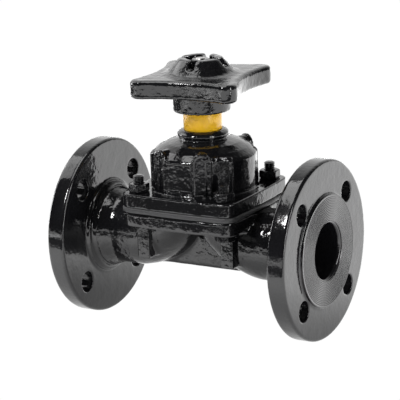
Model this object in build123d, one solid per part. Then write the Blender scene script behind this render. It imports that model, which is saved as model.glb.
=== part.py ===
"""Weir-type diaphragm valve, DN 50, with flanged ends and a rising handwheel.

Millimetres. +X runs along the pipe, +Z up the spindle. The origin lies midway between
the end faces, on the surface that the two flanges stand on. The valve is shown open.
"""
from build123d import *
from math import cos, radians, sin, sqrt
import os

os.makedirs("parts", exist_ok=True)

# ---- Pipe connection -------------------------------------------------------------
face_to_face = 250.0
bore_diameter = 50.0
flange_diameter = 165.0
flange_thickness = 20.0          # over the raised face
raised_face_diameter = 102.0
raised_face_height = 3.0
raised_face_draft = 0.6          # radius gained down to the flange
bolt_circle = 125.0
bolt_hole = 19.0
bolt_count = 4
flange_edge_chamfer = 1.5
bore_mouth_chamfer = 2.5
neck_ring_diameter = 87.0        # turned step behind each flange
neck_ring_width = 4.0
neck_ring_draft = 0.8            # radius lost along the step
neck_ring_step = 4.0             # step beyond the neck
neck_length = 20.0               # from the flange's back to the plain pipe

# ---- Body casting ----------------------------------------------------------------
wall = 8.0
bend_start = 62.0                # from the spindle to where each passage starts to rise
bend_lead = 8.0                  # straight run that leads into the rise
bend_overrun = 5.0               # passages run on above the seat plane before they are cut
# Rise of each passage, in bore diameters towards the spindle, bore radii upwards, the tilt
# in degrees, and the half width and half depth in bore radii
bend_stations = [(0.40, 0.26, 32, 1.08, 0.88), (0.74, 0.76, 55, 1.18, 0.68)]
bend_end = (0.89, 80, 1.24, 0.56)
seat_plane = 32.0                # diaphragm's underside, above the pipe axis
bowl_radius = 36.5               # opening under the diaphragm
weir_depth = 6.0                 # crest below the seat plane, on the spindle's axis
weir_half_span = 33.0            # across the flow, from the spindle to the crest's ends
body_flange_thickness = 13.0
web_thickness = 8.0
web_rise = 4.0                   # web's straight lower edge above the pipe's underside
pillar_width = 13.0
pillar_reach = 42.0              # across the flow, from the spindle to a pillar's face
pillar_drop = 15.0               # pillar's foot below the pipe axis

# ---- Bonnet joint ----------------------------------------------------------------
cover_half_side = 57.0
cover_corner_radius = 11.0
cover_side_bulge = 2.0
stud_spacing = 88.0
stud_diameter = 10.0
stud_top = 15.5                  # above the bonnet flange
stud_chamfer = 1.2
nut_across_flats = 17.0
nut_height = 8.0
thin_nut_height = 6.4
diaphragm_thickness = 5.0
diaphragm_lip = 0.8              # diaphragm's edge beyond the two flanges
bonnet_flange_thickness = 12.5

# ---- Travel ----------------------------------------------------------------------
travel = 16.0

# ---- Bonnet casting, heights above its flange's top ----------------------------------
barrel_radius = 48.4
barrel_height = 32.0
shoulder = [(0, -1.5), (-1.6, 0.8), (-7, 5.5), (-15, 9.6)]  # from the barrel's top edge
dome_height = 45.0               # to the foot of the collar
dome_edge = [(0, -0.6), (-2.2, 0)]                          # from the dome's top edge
collar_overhang = 8.5            # beyond the neck
collar_height = 8.0
collar_ring = [(-1.2, 1.4), (0, 3.0), (0, 4.8), (-1.2, 6.4), (-3.6, 7.6), (-3.9, 8.0)]
neck_wall = 3.5                  # round the bush
neck_height = 71.5
cavity_radius = 39.5
cavity_height = 22.0
flat_distance = 46.4             # spanner flats beside the nuts, from the spindle
flat_width = 26.0
flat_rise = 8.0                  # flats run on above the barrel's top
pocket_depth = 3.0
pocket_width = 26.0
pocket_height = 27.0
pocket_foot = 3.0                # above the flange
rib_angle = 27.0                 # from each pocket's middle
rib_width = 16.0
rib_height = 39.5
rib_proud = 0.3                  # beyond the barrel
guide_rib_depth = 7.0            # four ribs in the cavity, beside the compressor's wings
guide_rib_width = 5.0
guide_rib_foot = 5.0             # above the bonnet's underside
cavity_step = 1.0                # cavity's roof below the bush's flange

# ---- Spindle and bush ------------------------------------------------------------
spindle_diameter = 16.0
bush_wall = 3.5
bush_flange_width = 3.5          # beyond the bush
bush_flange_thickness = 4.0
bush_reach = 33.0                # from its flange to the top of the bonnet's neck
bush_stand_up = 2.0              # bush above the bonnet's neck
retaining_ring_thickness = 1.2
retaining_ring_overhang = 2.1    # beyond the bush
retaining_ring_groove = 0.9
retaining_ring_opening = 6.0
locking_pin_diameter = 3.0
locking_pin_depth = 5.0          # into the bonnet
o_ring_section = 2.4
o_ring_depth = 8.0               # groove's lower side below the top of the neck
o_ring_side_gap = 0.1
square_across_flats = 12.0
square_end = 1.0                 # square stops below the floor of the handwheel's recess
top_thread_diameter = 10.0
top_thread_chamfer = 1.0
top_thread_stand_up = 0.8        # above its nut
groove_depth = 2.3               # round the spindle's foot, for the retaining pins
retaining_pin_diameter = 5.0
retaining_pin_height = 4.5       # above the spindle's foot
thrust_washer_thickness = 2.0

# ---- Compressor and diaphragm stud -------------------------------------------------
compressor_radius = 27.0
compressor_hub_wall = 6.0        # beyond the spindle
compressor_hub_foot = 4.0        # above the compressor's lowest point
compressor_disc = 9.0
compressor_height = 23.0
wing_thickness = 8.0
wing_reach = 36.5
wing_bottom = 8.0                # above the compressor's lowest point
wing_top = 19.0
dome_rise = 10.0                 # open diaphragm's centre above its clamped edge
stud_head_radius = 8.0
stud_head_thickness = 2.2
stud_head_drop = 0.3             # below the middle of the rubber
diaphragm_stud_diameter = 8.0
diaphragm_stud_reach = 5.5       # into the compressor
stud_end_web = 0.5               # between the stud's end and the spindle's bore
# Dome from its clamped edge to its centre: share of the radius, share of the rise
dome_profile = [(1.0, 0.0), (0.72, 0.52), (0.38, 0.93), (0.0, 1.0)]
dome_lap = 0.5                   # dome beyond the bowl's edge, into the clamped plate

# ---- Position indicator ------------------------------------------------------------
indicator_wall = 2.6
indicator_drop = 2.0             # below the top of the neck

# ---- Handwheel -------------------------------------------------------------------
wheel_turn = 7.0                 # how far its corners stand past the diagonals
wheel_corner_reach = 90.0        # to the corners before they are rounded
wheel_corner_radius = 10.0
wheel_side_reach = 44.0          # to the middle of each hollow side
wheel_thickness = 17.0
wheel_edge_radius = 3.5
wheel_wall = 9.0
wheel_hollow = 8.0
skirt_gap = 1.4                  # round the indicator
skirt_wall = 7.5
skirt_closed_gap = 1.4           # above the collar with the valve shut
skirt_length = 17.5              # below the wheel's rim
skirt_hollow = 20.5
boss_base_radius = 30.0
boss_top_radius = 20.5
boss_height = 14.0
boss_root_width = 6.0            # low slope round the boss's base
boss_root_height = 1.6
boss_edge = 1.2
boss_recess_radius = 12.6
boss_recess_depth = 8.0
boss_slot_width = 6.5
boss_slot_depth = 8.0
wheel_nut_across_flats = 16.0
wheel_nut_height = 5.0
wheel_washer_thickness = 1.6
wheel_washer_radius = 10.0
wiper_section = 3.4
wiper_height = 3.0
wiper_inset = 1.5                # above the skirt's mouth

# ---- Clearances ------------------------------------------------------------------
running_clearance = 0.08         # spindle in its bush, on the radius
moving_gap = 0.3                 # between pieces that move past each other
end_gap = 0.1                    # along a shaft that turns
fit_gap = 0.05                   # between pieces of one assembly, on the radius
stud_clearance = 0.5             # stud in its hole, on the radius
spanner_room = 1.0               # round a nut's corners
past = 1.0                       # how far a cut or a joined piece runs past a face

# ---- Levels, from the surface that the flanges stand on -------------------------------
axis_height = flange_diameter / 2
bore_radius = bore_diameter / 2
pipe_radius = bore_radius + wall
seat_level = axis_height + seat_plane
body_flange_bottom = seat_level - body_flange_thickness
bonnet_bottom = seat_level + diaphragm_thickness
bonnet_top = bonnet_bottom + bonnet_flange_thickness
barrel_top = bonnet_top + barrel_height
dome_top = bonnet_top + dome_height
collar_top = dome_top + collar_height
neck_top = bonnet_top + neck_height
cavity_top = bonnet_top + cavity_height
bush_top = neck_top + bush_stand_up
bush_seat = neck_top - bush_reach
o_ring_low = neck_top - o_ring_depth
crest_level = seat_level - weir_depth
dome_underside = seat_level + dome_rise
compressor_bottom = dome_underside + diaphragm_thickness + moving_gap
compressor_top = compressor_bottom + compressor_height
diaphragm_stud_top = compressor_bottom + diaphragm_stud_reach
spindle_bore_floor = diaphragm_stud_top + stud_end_web
spindle_foot = spindle_bore_floor + thrust_washer_thickness + end_gap
retaining_pin_level = spindle_foot + retaining_pin_height + retaining_pin_diameter / 2
stud_head_low = dome_underside + (diaphragm_thickness - stud_head_thickness) / 2 - stud_head_drop
stud_head_high = stud_head_low + stud_head_thickness
indicator_top = neck_top - indicator_drop
skirt_bottom = collar_top + travel + skirt_closed_gap
wiper_low = skirt_bottom + wiper_inset
wheel_bottom = skirt_bottom + skirt_length
wheel_top = wheel_bottom + wheel_thickness
wheel_roof = skirt_bottom + skirt_hollow
boss_top = wheel_top + boss_height
recess_floor = boss_top - boss_recess_depth
body_nut_bottom = body_flange_bottom - thin_nut_height

# ---- Radii and places that follow from the values above -------------------------------
weir_radius = (weir_half_span ** 2 + weir_depth ** 2) / (2 * weir_depth)
spindle_radius = spindle_diameter / 2
compressor_hub_radius = spindle_radius + compressor_hub_wall
bush_radius = spindle_radius + bush_wall
bush_flange_radius = bush_radius + bush_flange_width
retaining_ring_radius = bush_radius + retaining_ring_overhang
neck_radius = bush_radius + neck_wall
collar_radius = neck_radius + collar_overhang
indicator_radius = neck_radius + indicator_wall
skirt_bore_radius = indicator_radius + skirt_gap
skirt_radius = skirt_bore_radius + skirt_wall
stud_hole_radius = stud_diameter / 2 + stud_clearance
spot_face_radius = nut_across_flats / sqrt(3) + spanner_room
stud_places = [(x * stud_spacing / 2, y * stud_spacing / 2) for x in (-1, 1) for y in (-1, 1)]
end_sides = (-1, 1)


def column(radius, low, high, x=0.0, y=0.0):
    """Upright cylinder between two levels."""
    return Pos(x, y, (low + high) / 2) * Cylinder(radius, high - low)


def block(x_range, y_range, z_range):
    """Box between pairs of limits."""
    ranges = (x_range, y_range, z_range)
    middle = [(low + high) / 2 for low, high in ranges]
    return Pos(*middle) * Box(*[high - low for low, high in ranges])


def turned(points):
    """Solid turned about the spindle's axis from (radius, level) points."""
    profile = make_face(Polyline([(r, 0, z) for r, z in points], close=True))
    return revolve(profile, Axis.Z)


def hexagon(across_flats, low, high, x=0.0, y=0.0, turn=0.0):
    """Hexagonal prism whose corners are trimmed by a cone at both ends."""
    corner = across_flats / sqrt(3)
    prism = extrude(RegularPolygon(corner, 6, rotation=turn), high - low)
    trim = corner - across_flats / 2
    rim = corner + fit_gap
    rounded = turned(
        [
            (0, 0),
            (across_flats / 2 - trim / 2, 0),
            (rim, trim),
            (rim, high - low - trim),
            (across_flats / 2 - trim / 2, high - low),
            (0, high - low),
        ]
    )
    return Pos(x, y, low) * (prism & rounded)


def cover_outline(margin=0.0):
    """Square with rounded corners and slightly bulging sides, shared by both flanges."""
    half = cover_half_side + margin
    bulge = half + cover_side_bulge
    corners = [(-half, -half), (half, -half), (half, half), (-half, half)]
    middles = [(0, -bulge), (bulge, 0), (0, bulge), (-bulge, 0)]
    sides = [
        ThreePointArc(corners[i], middles[i], corners[(i + 1) % 4]) for i in range(4)
    ]
    face = make_face(sides)
    return fillet(face.vertices(), cover_corner_radius + margin)


def cover_plate(low, high, margin=0.0):
    """Plate of the bonnet joint, without its holes."""
    return Pos(0, 0, low) * extrude(cover_outline(margin), high - low)


def with_stud_holes(solid, low, high):
    """The solid with the four stud holes through it between two levels."""
    for x, y in stud_places:
        solid -= column(stud_hole_radius, low - past, high + past, x, y)
    return solid


def passage(side, allowance, end_x):
    """One end's waterway: round at the flange, rising and widening to the seat.

    The allowance is nothing for the waterway itself and the wall for its casting.
    """
    r = bore_radius
    run = 2 * r
    stations = [(bend_start + bend_lead, 0, 0, r, r), (bend_start, 0, 0, r, r)]
    for along, up, tilt, across, deep in bend_stations:
        stations.append((bend_start - along * run, up * r, tilt, across * r, deep * r))
    along, tilt, across, deep = bend_end
    top = seat_plane + bend_overrun
    stations.append((bend_start - along * run, top, tilt, across * r, deep * r))
    rings = []
    for x, rise, tilt, across, deep in stations:
        normal = (-side * cos(radians(tilt)), 0, sin(radians(tilt)))
        place = Plane(origin=(side * x, 0, axis_height + rise), x_dir=(0, 1, 0), z_dir=normal)
        rings.append(place * Ellipse(across + allowance, deep + allowance))
    straight = end_x - bend_start - bend_lead
    middle = side * (end_x - straight / 2)
    pipe = Pos(middle, 0, axis_height) * Rot(0, 90, 0) * Cylinder(r + allowance, straight)
    return pipe + loft(rings)


def end_flange(side):
    """Pipe flange with its raised face, stepped neck and bolt holes."""
    face = face_to_face / 2
    front = face - raised_face_height
    back = face - flange_thickness
    rim = flange_diameter / 2
    chamfer_size = flange_edge_chamfer
    ring = neck_ring_diameter / 2
    raised = raised_face_diameter / 2
    outline = [
        (face, 0),
        (face, raised),
        (front, raised + raised_face_draft),
        (front, rim - chamfer_size),
        (front - chamfer_size, rim),
        (back + chamfer_size, rim),
        (back, rim - chamfer_size),
        (back, ring),
        (back - neck_ring_width, ring - neck_ring_draft),
        (back - neck_ring_width, ring - neck_ring_step),
        (back - neck_length, pipe_radius),
        (back - neck_length, 0),
    ]
    points = [(side * x, 0, axis_height + r) for x, r in outline]
    axis = Axis((0, 0, axis_height), (1, 0, 0))
    solid = revolve(make_face(Polyline(points, close=True)), axis)
    for i in range(bolt_count):
        angle = radians(360 / bolt_count * (i + 0.5))
        y = bolt_circle / 2 * cos(angle)
        z = axis_height + bolt_circle / 2 * sin(angle)
        middle = side * (front + back) / 2
        hole = Cylinder(bolt_hole / 2, flange_thickness + 2 * past)
        solid -= Pos(middle, y, z) * Rot(0, 90, 0) * hole
    return solid


def make_valve_body():
    """Casting with both flanges, the two rising passages and the weir between them."""
    flange_back = face_to_face / 2 - flange_thickness
    shell = passage(-1, wall, flange_back - neck_length + past)
    shell += passage(1, wall, flange_back - neck_length + past)
    web_bottom = axis_height - pipe_radius + web_rise
    half_web = web_thickness / 2
    shell += block((-bend_start, bend_start), (-half_web, half_web), (web_bottom, axis_height))
    for x, y in stud_places:
        width = (x - pillar_width / 2, x + pillar_width / 2)
        reach = sorted((bore_radius * y / abs(y) / 2, pillar_reach * y / abs(y)))
        shell += block(width, reach, (axis_height - pillar_drop, body_flange_bottom + past))
    for x, y in stud_places:
        shell -= column(spot_face_radius, body_nut_bottom, body_flange_bottom + 2 * past, x, y)
    above_seat = (seat_level, seat_level + face_to_face)
    shell -= block((-face_to_face, face_to_face), (-face_to_face, face_to_face), above_seat)
    shell += cover_plate(body_flange_bottom, seat_level)
    shell = with_stud_holes(shell, body_flange_bottom, seat_level)
    for side in end_sides:
        shell += end_flange(side)
    crest, lip = crest_level - axis_height, seat_plane + past
    rim = sqrt(weir_radius ** 2 - (weir_radius - weir_depth - past) ** 2)
    arc = ThreePointArc((-rim, lip), (0, crest), (rim, lip))
    section = Plane.YZ * make_face(arc + Line((rim, lip), (-rim, lip)))
    trough = extrude(section, bowl_radius + past, both=True)
    bowl = column(bowl_radius, crest_level - 2 * past, seat_level + past)
    shell -= bowl & (Pos(0, 0, axis_height) * trough)
    for side in end_sides:
        shell -= passage(side, 0, face_to_face / 2 + past)
        mouth = Cone(bore_radius, bore_radius + bore_mouth_chamfer, bore_mouth_chamfer)
        place = side * (face_to_face / 2 - bore_mouth_chamfer / 2)
        shell -= Pos(place, 0, axis_height) * Rot(0, side * 90, 0) * mouth
    return shell


def make_diaphragm():
    """Rubber diaphragm, domed upwards as when the valve is open."""
    plate = cover_plate(seat_level, bonnet_bottom, diaphragm_lip)
    plate = with_stud_holes(plate, seat_level, bonnet_bottom)
    plate -= column(bowl_radius - dome_lap, seat_level - past, bonnet_bottom + past)
    under = [(bowl_radius * r, 0, seat_level + dome_rise * z) for r, z in dome_profile]
    over = [(x, y, z + diaphragm_thickness) for x, y, z in under]
    flat = (-1, 0, 0)
    edges = [
        Spline(under, tangents=(Vector(-1, 0, 0.25), Vector(*flat))),
        Line(under[-1], over[-1]),
        Spline(over, tangents=(Vector(-1, 0, 0.25), Vector(*flat))),
        Line(over[0], under[0]),
    ]
    dome = revolve(make_face(edges), Axis.Z)
    whole = plate + dome
    head = (stud_head_low - moving_gap, stud_head_high + moving_gap)
    whole -= column(stud_head_radius + moving_gap, *head)
    shank_radius = diaphragm_stud_diameter / 2 + moving_gap
    return whole - column(shank_radius, stud_head_low, compressor_bottom + past)


def make_diaphragm_stud():
    """Steel stud whose head is held in the rubber and whose shank screws upwards."""
    head = column(stud_head_radius, stud_head_low, stud_head_high)
    return head + column(diaphragm_stud_diameter / 2, stud_head_low, diaphragm_stud_top)


def make_compressor():
    """Casting that presses the diaphragm on the weir, with two wings that guide it."""
    press_radius = weir_radius - diaphragm_thickness
    disc_top = compressor_bottom + compressor_disc
    disc = column(compressor_radius, compressor_bottom - past, disc_top)
    saddle = Pos(0, 0, compressor_bottom + press_radius) * Rot(0, 90, 0)
    saddle *= Cylinder(press_radius, 4 * compressor_radius)
    solid = disc & saddle
    hub_foot = compressor_bottom + compressor_hub_foot
    solid += column(compressor_hub_radius, hub_foot, compressor_top)
    wing_levels = (compressor_bottom + wing_bottom, compressor_bottom + wing_top)
    wing_width = (-wing_thickness / 2, wing_thickness / 2)
    solid += block((-wing_reach, wing_reach), wing_width, wing_levels)
    spindle_bore = spindle_radius + 2 * moving_gap
    solid -= column(spindle_bore, spindle_bore_floor, compressor_top + past)
    stud_hole = diaphragm_stud_diameter / 2 + fit_gap
    solid -= column(stud_hole, compressor_bottom - past, diaphragm_stud_top + end_gap)
    for pin_hole in retaining_pin_shapes(fit_gap):
        solid -= pin_hole
    return solid


def retaining_pin_shapes(margin=0.0):
    """Two pins along X that pass each side of the spindle, in its groove."""
    groove_radius = spindle_radius - groove_depth
    offset = groove_radius + retaining_pin_diameter / 2 + moving_gap
    length = 2 * sqrt(compressor_hub_radius ** 2 - offset ** 2) + (4 * past if margin else 0)
    shape = Rot(0, 90, 0) * Cylinder(retaining_pin_diameter / 2 + margin, length)
    return [Pos(0, side * offset, retaining_pin_level) * shape for side in (-1, 1)]


def make_thrust_washer():
    """Brass washer between the spindle's foot and the compressor."""
    low = spindle_bore_floor
    return column(spindle_radius, low, low + thrust_washer_thickness)


def make_spindle():
    """Rising spindle: grooved foot, screwed shank, square for the handwheel, top thread."""
    shank = column(spindle_radius, spindle_foot, wheel_roof)
    half_groove = retaining_pin_diameter / 2 + moving_gap
    groove_levels = (retaining_pin_level - half_groove, retaining_pin_level + half_groove)
    groove = column(spindle_radius + past, *groove_levels)
    groove -= column(spindle_radius - groove_depth, *groove_levels)
    shank -= groove
    half = square_across_flats / 2
    square_top = recess_floor - square_end
    square = block((-half, half), (-half, half), (wheel_roof, square_top))
    square &= column(spindle_radius, wheel_roof, recess_floor)
    nut_top = recess_floor + wheel_washer_thickness + wheel_nut_height
    thread = column(top_thread_diameter / 2, square_top, nut_top + top_thread_stand_up)
    thread = chamfer(thread.edges().group_by(Axis.Z)[-1], top_thread_chamfer)
    return shank + Rot(0, 0, wheel_turn) * square + thread


def make_spindle_bush():
    """Bronze nut for the spindle, flanged below and locked against turning."""
    foot = bush_seat - bush_flange_thickness
    solid = column(bush_radius, foot, bush_top)
    solid += column(bush_flange_radius, foot, bush_seat)
    solid -= column(spindle_radius + running_clearance, foot - past, bush_top + past)
    groove_levels = (neck_top, neck_top + retaining_ring_thickness)
    ring_groove = column(bush_radius + past, *groove_levels)
    ring_groove -= column(bush_radius - retaining_ring_groove, *groove_levels)
    solid -= ring_groove
    o_ring_top = o_ring_low + o_ring_section + 2 * o_ring_side_gap
    solid -= column(spindle_radius + o_ring_section, o_ring_low, o_ring_top)
    return solid - locking_pin_shape(fit_gap)


def make_spindle_o_ring():
    """Square-section seal round the spindle."""
    low = o_ring_low + o_ring_side_gap
    high = low + o_ring_section
    ring = column(spindle_radius + o_ring_section - fit_gap, low, high)
    return ring - column(spindle_radius + moving_gap, low - past, high + past)


def locking_pin_shape(margin=0.0):
    """Dowel half in the bush's flange and half in the bonnet, which stops the bush turning."""
    radius = locking_pin_diameter / 2 + margin
    middle = (bush_radius + bush_flange_radius) / 2
    low = bush_seat - bush_flange_thickness
    return column(radius, low, bush_seat + locking_pin_depth + margin, middle, 0)


def make_bush_retaining_ring():
    """Spring ring that sits on the bonnet's neck, in the bush's groove."""
    low, high = neck_top, neck_top + retaining_ring_thickness
    ring = column(retaining_ring_radius, low, high)
    ring -= column(bush_radius - retaining_ring_groove + fit_gap, low - past, high + past)
    half = retaining_ring_opening / 2
    opening = (0, retaining_ring_radius + past)
    return ring - block(opening, (-half, half), (low - past, high + past))


def make_bonnet():
    """Domed casting over the diaphragm, with spanner flats, side pockets and arched ribs."""
    outside = [(0, bonnet_top - past), (barrel_radius, bonnet_top - past)]
    outside += [(barrel_radius + r, barrel_top + z) for r, z in shoulder]
    outside += [(collar_radius + r, dome_top + z) for r, z in dome_edge + collar_ring]
    outside += [(neck_radius, collar_top), (neck_radius, neck_top), (0, neck_top)]
    solid = turned(outside)
    flat = block(
        (flat_distance, barrel_radius + past),
        (-flat_width / 2, flat_width / 2),
        (bonnet_top, barrel_top + flat_rise),
    )
    for i in range(4):
        solid -= Rot(0, 0, 45 + 90 * i) * flat
    pocket_low = bonnet_top + pocket_foot
    pocket = block(
        (barrel_radius - pocket_depth, barrel_radius + past),
        (-pocket_width / 2, pocket_width / 2),
        (pocket_low, pocket_low + pocket_height),
    )
    for turn in (-90, 90):
        solid -= Rot(0, 0, turn) * pocket
    arch_radius = rib_width / 2
    arch_height = rib_height - arch_radius
    arch = Pos(0, arch_height / 2) * Rectangle(rib_width, arch_height)
    arch += Pos(0, arch_height) * Circle(arch_radius)
    for middle in (-90, 90):
        for side in (-1, 1):
            rib = Pos(0, 0, bonnet_top) * extrude(Plane.YZ * arch, barrel_radius + rib_proud)
            solid += Rot(0, 0, middle + side * rib_angle) * rib
    for x, y in stud_places:
        solid -= column(spot_face_radius, bonnet_top, bonnet_top + stud_top, x, y)
    solid += cover_plate(bonnet_bottom, bonnet_top)
    solid = with_stud_holes(solid, bonnet_bottom, bonnet_top)
    inside = [
        (0, bonnet_bottom - past),
        (cavity_radius, bonnet_bottom - past),
        (cavity_radius, cavity_top),
        (bush_flange_radius + fit_gap, bush_seat - bush_flange_thickness - cavity_step),
        (bush_flange_radius + fit_gap, bush_seat),
        (bush_radius + fit_gap, bush_seat),
        (bush_radius + fit_gap, neck_top + past),
        (0, neck_top + past),
    ]
    solid -= turned(inside)
    slot = wing_thickness / 2 + moving_gap
    guide_levels = (bonnet_bottom + guide_rib_foot, cavity_top)
    for x_side in (-1, 1):
        for y_side in (-1, 1):
            depth = (cavity_radius - guide_rib_depth, cavity_radius + past)
            x_range = sorted(x_side * x for x in depth)
            y_range = sorted(y_side * y for y in (slot, slot + guide_rib_width))
            solid += block(x_range, y_range, guide_levels)
    return solid - locking_pin_shape(fit_gap)


def make_position_indicator():
    """Coloured sleeve on the bonnet's neck, which the handwheel's skirt covers as it closes."""
    sleeve = column(indicator_radius, collar_top, indicator_top)
    return sleeve - column(neck_radius + fit_gap, collar_top - past, indicator_top + past)


def wheel_outline():
    """Four-cornered grip with hollow sides, its corners on the diagonals."""
    reach = wheel_corner_reach / sqrt(2)
    corners = [(reach, -reach), (reach, reach), (-reach, reach), (-reach, -reach)]
    middles = [(wheel_side_reach, 0), (0, wheel_side_reach)]
    middles += [(-wheel_side_reach, 0), (0, -wheel_side_reach)]
    sides = [
        ThreePointArc(corners[i], middles[i], corners[(i + 1) % 4]) for i in range(4)
    ]
    return fillet(make_face(sides).vertices(), wheel_corner_radius)


def make_handwheel():
    """Cast handwheel with a slotted boss above and a skirt that slides over the indicator."""
    outline = wheel_outline()
    rim = Pos(0, 0, wheel_bottom) * extrude(outline, wheel_thickness)
    level_edges = rim.edges().group_by(Axis.Z)
    rim = fillet(level_edges[0] + level_edges[-1], wheel_edge_radius)
    hollow = extrude(offset(outline, -wheel_wall), wheel_hollow + past)
    solid = rim - Pos(0, 0, wheel_bottom - past) * hollow
    solid += column(skirt_radius, skirt_bottom, wheel_top - past)
    solid += turned(
        [
            (0, wheel_top - past),
            (boss_base_radius + boss_root_width, wheel_top - past),
            (boss_base_radius + boss_root_width, wheel_top),
            (boss_base_radius, wheel_top + boss_root_height),
            (boss_top_radius, boss_top - boss_edge),
            (boss_top_radius - boss_edge, boss_top),
            (0, boss_top),
        ]
    )
    slot = block(
        (boss_recess_radius - past, boss_base_radius + boss_root_width + past),
        (-boss_slot_width / 2, boss_slot_width / 2),
        (boss_top - boss_slot_depth, boss_top + past),
    )
    for i in range(4):
        solid -= Rot(0, 0, 90 * i) * slot
    solid -= column(boss_recess_radius, recess_floor, boss_top + past)
    solid -= column(skirt_bore_radius, skirt_bottom - past, wheel_roof)
    groove_radius = indicator_radius + moving_gap + wiper_section + fit_gap
    solid -= column(groove_radius, wiper_low, wiper_low + wiper_height)
    half = square_across_flats / 2 + fit_gap
    solid -= block((-half, half), (-half, half), (wheel_roof - past, recess_floor + past))
    return Rot(0, 0, wheel_turn) * solid


def make_wiper_ring():
    """Lip ring in the skirt's mouth that keeps dirt off the neck."""
    low, high = wiper_low, wiper_low + wiper_height
    ring = column(indicator_radius + moving_gap + wiper_section, low, high)
    return ring - column(indicator_radius + moving_gap, low - past, high + past)


def make_handwheel_washer():
    """Washer on the floor of the boss's recess, over the square hole."""
    low, high = recess_floor, recess_floor + wheel_washer_thickness
    ring = column(wheel_washer_radius, low, high)
    return ring - column(top_thread_diameter / 2 + fit_gap, low - past, high + past)


def make_handwheel_nut():
    """Thin nut that holds the handwheel down on the spindle's square."""
    low = recess_floor + wheel_washer_thickness
    high = low + wheel_nut_height
    nut = hexagon(wheel_nut_across_flats, low, high, turn=wheel_turn)
    return nut - column(top_thread_diameter / 2 + fit_gap, low - past, high + past)


def make_bonnet_studs():
    """Four studs through both flanges and the diaphragm."""
    low = body_nut_bottom
    high = bonnet_top + stud_top
    studs = []
    for x, y in stud_places:
        stud = column(stud_diameter / 2, low, high, x, y)
        ends = stud.edges().filter_by(GeomType.CIRCLE)
        studs.append(chamfer(ends, stud_chamfer))
    return studs


def make_nuts(low, height):
    """One nut on each stud, all at the same level."""
    nuts = []
    for i, (x, y) in enumerate(stud_places):
        nut = hexagon(nut_across_flats, low, low + height, x, y, turn=11 + 17 * i)
        bore = column(stud_diameter / 2 + fit_gap, low - past, low + height + past, x, y)
        nuts.append(nut - bore)
    return nuts


def write(name, shape):
    """Write one sub-part's solids to its own STEP file."""
    shapes = shape if isinstance(shape, list) else [shape]
    solids = [solid for item in shapes for solid in item.solids()]
    export_step(Compound(children=solids) if len(solids) > 1 else solids[0], f"parts/{name}.step")


write("valve_body", make_valve_body())
write("diaphragm", make_diaphragm())
write("diaphragm_stud", make_diaphragm_stud())
write("compressor", make_compressor())
write("retaining_pins", retaining_pin_shapes())
write("thrust_washer", make_thrust_washer())
write("spindle", make_spindle())
write("spindle_bush", make_spindle_bush())
write("spindle_o_ring", make_spindle_o_ring())
write("bush_retaining_ring", make_bush_retaining_ring())
write("bush_locking_pin", locking_pin_shape())
write("bonnet", make_bonnet())
write("position_indicator", make_position_indicator())
write("handwheel", make_handwheel())
write("wiper_ring", make_wiper_ring())
write("handwheel_washer", make_handwheel_washer())
write("handwheel_nut", make_handwheel_nut())
write("bonnet_studs", make_bonnet_studs())
write("bonnet_nuts", make_nuts(bonnet_top, nut_height))
write("body_nuts", make_nuts(body_nut_bottom, thin_nut_height))
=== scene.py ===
from math import copysign, cos, pi, radians, sin, sqrt, tau

import bmesh
import bpy
from bpy.props import FloatProperty, FloatVectorProperty, IntProperty, PointerProperty
from mathutils import Matrix, Vector, noise


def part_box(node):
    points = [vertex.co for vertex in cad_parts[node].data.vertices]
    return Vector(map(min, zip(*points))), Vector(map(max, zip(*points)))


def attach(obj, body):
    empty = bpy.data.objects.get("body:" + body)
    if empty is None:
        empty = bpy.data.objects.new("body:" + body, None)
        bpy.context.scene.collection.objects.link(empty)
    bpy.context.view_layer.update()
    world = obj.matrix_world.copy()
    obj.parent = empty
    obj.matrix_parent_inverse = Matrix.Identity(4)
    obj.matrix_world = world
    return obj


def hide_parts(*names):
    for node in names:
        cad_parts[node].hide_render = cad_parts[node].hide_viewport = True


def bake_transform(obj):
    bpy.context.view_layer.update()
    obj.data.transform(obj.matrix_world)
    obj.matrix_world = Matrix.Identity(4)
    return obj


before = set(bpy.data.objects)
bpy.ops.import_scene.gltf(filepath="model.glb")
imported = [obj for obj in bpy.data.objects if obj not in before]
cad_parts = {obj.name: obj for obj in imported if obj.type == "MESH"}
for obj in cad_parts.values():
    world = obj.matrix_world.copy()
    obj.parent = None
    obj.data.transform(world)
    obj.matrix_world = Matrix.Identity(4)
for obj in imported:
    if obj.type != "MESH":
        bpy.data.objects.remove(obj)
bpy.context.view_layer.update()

bl_info = {
    "name": "Flanged Diaphragm Valve",
    "version": (1, 0, 0),
    "blender": (4, 5, 0),
    "location": "View3D > Sidebar > Valve",
    "description": "Builds the cast, enamelled and turned pieces of a flanged diaphragm valve",
    "category": "Add Mesh",
}

MM = 0.001


def top(node):
    """Highest level of a node at rest."""
    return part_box(node)[1][2]


def bottom(node):
    """Lowest level of a node at rest."""
    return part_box(node)[0][2]


FLANGE_LOW, FLANGE_HIGH = [Vector(corner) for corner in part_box("valve_body")]
PIPE_AXIS = (FLANGE_LOW.z + FLANGE_HIGH.z) / 2
END_FACE = FLANGE_HIGH.x
SEAT = bottom("diaphragm")
COVER_TOP = bottom("bonnet_nuts")
STUD_RADIUS = 5.0 * MM
FACING_DEPTH = 0.9 * MM  # of each flange's facing piece behind the end face


# ---------------------------------------------------------------- settings ----


def length(name, description, default, low=None, high=None):
    """Length property, in metres."""
    limits = {} if low is None else {"min": low, "max": high}
    return FloatProperty(
        name=name, description=description, default=default, unit="LENGTH", **limits
    )


def angle(name, description, degrees):
    """Angle property, from degrees."""
    return FloatProperty(
        name=name, description=description, default=radians(degrees), subtype="ANGLE"
    )


def colour(name, description, default):
    """Colour property, from linear values."""
    return FloatVectorProperty(
        name=name, description=description, default=default, min=0.0, max=1.0, subtype="COLOR"
    )


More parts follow.
